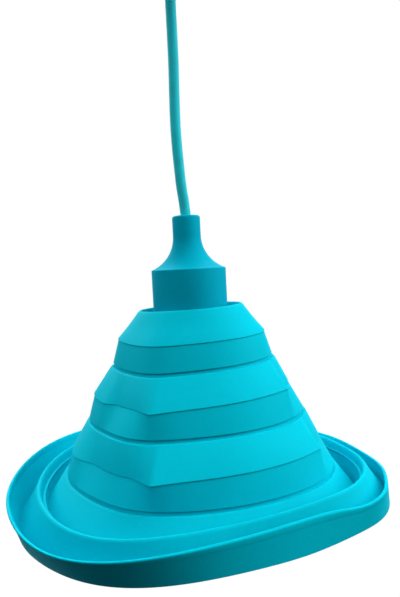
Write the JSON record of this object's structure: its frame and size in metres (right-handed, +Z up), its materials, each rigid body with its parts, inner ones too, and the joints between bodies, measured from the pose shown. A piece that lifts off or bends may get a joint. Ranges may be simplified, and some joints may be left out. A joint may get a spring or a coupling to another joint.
{
  "type": "folding silicone pendant lamp",
  "caption": "Pendant lamp with a folding silicone shade in stepped rings, hung on a braided cord from a ceiling rose; the fold bands push in or pull out to change the shade's shape.",
  "frame": {"origin": "middle of the ceiling rose, on the ceiling face", "axes": "+Z up, along the outward normal of the ceiling face; the lamp hangs at negative z; +X to the right as seen from the front, +Y away from the viewer"},
  "size_m": [0.2285, 0.2392, 0.3616],
  "materials": {
    "shade_silicone": "matte moulded silicone",
    "cover_silicone": "matte moulded silicone",
    "cord_braid": "braided textile",
    "cover_plastic": "satin moulded",
    "white_plastic": "satin moulded",
    "ceramic": "glazed insulator",
    "steel": "zinc plated",
    "nickel": "nickel plated sheet",
    "brass": "plain",
    "live_insulation": "wire insulation",
    "neutral_insulation": "wire insulation"
  },
  "bodies": {
    "ceiling_rose": {"ceiling_bracket": "steel", "rose_cover": "cover_plastic", "cover_screws": "steel", "cord_grip": "cover_plastic", "cord_grip_nut": "cover_plastic", "grip_lock_screw": "white_plastic", "terminal_block": "white_plastic", "terminal_screws": "brass", "cord_tail": "cord_braid", "rose_wire_live": "live_insulation", "rose_wire_neutral": "neutral_insulation"},
    "pendant": {"cord": "cord_braid", "holder_cover": "cover_silicone", "holder_grip": "white_plastic", "holder_grip_screw": "steel", "holder_cap": "white_plastic", "holder_body": "white_plastic", "holder_core": "ceramic", "screw_shell": "nickel", "contact_foot": "brass", "holder_terminals": "brass", "holder_terminal_screws": "steel", "lamp_wire_live": "live_insulation", "lamp_wire_neutral": "neutral_insulation", "clamp_ring": "white_plastic", "shade_flange": "shade_silicone", "fold_band_0": "shade_silicone"},
    "contact": {"centre_contact": "brass"},
    "ring_1": {"shade_ring_1": "shade_silicone", "fold_band_1": "shade_silicone"},
    "ring_2": {"shade_ring_2": "shade_silicone", "fold_band_2": "shade_silicone"},
    "ring_3": {"shade_ring_3": "shade_silicone", "fold_band_3": "shade_silicone"},
    "ring_4": {"shade_ring_4": "shade_silicone", "fold_band_4": "shade_silicone"},
    "ring_5": {"shade_ring_5": "shade_silicone", "fold_band_5": "shade_silicone"},
    "rim": {"rim_lip": "shade_silicone"}
  },
  "joints": [
    {"name": "swing", "type": "hinge", "parent": "ceiling_rose", "child": "pendant", "pos_m": [0, 0, -0.043], "axis": [0, 1, 0], "range_deg": [-40, 40], "deforming": ["cord"]},
    {"name": "contact_flex", "type": "hinge", "parent": "pendant", "child": "contact", "pos_m": [-0.0009, 0, -0.2456], "axis": [0, -1, 0], "range_deg": [0, 14], "stiffness_Nm_per_rad": 0.02},
    {"name": "fold_0", "type": "slide", "parent": "pendant", "child": "ring_1", "axis": [0, 0, 1], "range_m": [-0.028, 0], "deforming": ["fold_band_0"]},
    {"name": "fold_1", "type": "slide", "parent": "ring_1", "child": "ring_2", "axis": [0, 0, 1], "range_m": [0, 0.028], "deforming": ["fold_band_1"]},
    {"name": "fold_2", "type": "slide", "parent": "ring_2", "child": "ring_3", "axis": [0, 0, 1], "range_m": [0, 0.028], "deforming": ["fold_band_2"]},
    {"name": "fold_3", "type": "slide", "parent": "ring_3", "child": "ring_4", "axis": [0, 0, 1], "range_m": [0, 0.028], "deforming": ["fold_band_3"]},
    {"name": "fold_4", "type": "slide", "parent": "ring_4", "child": "ring_5", "axis": [0, 0, 1], "range_m": [-0.028, 0], "deforming": ["fold_band_4"]},
    {"name": "fold_5", "type": "slide", "parent": "ring_5", "child": "rim", "axis": [0, 0, 1], "range_m": [-0.028, 0], "deforming": ["fold_band_5"]}
  ]
}
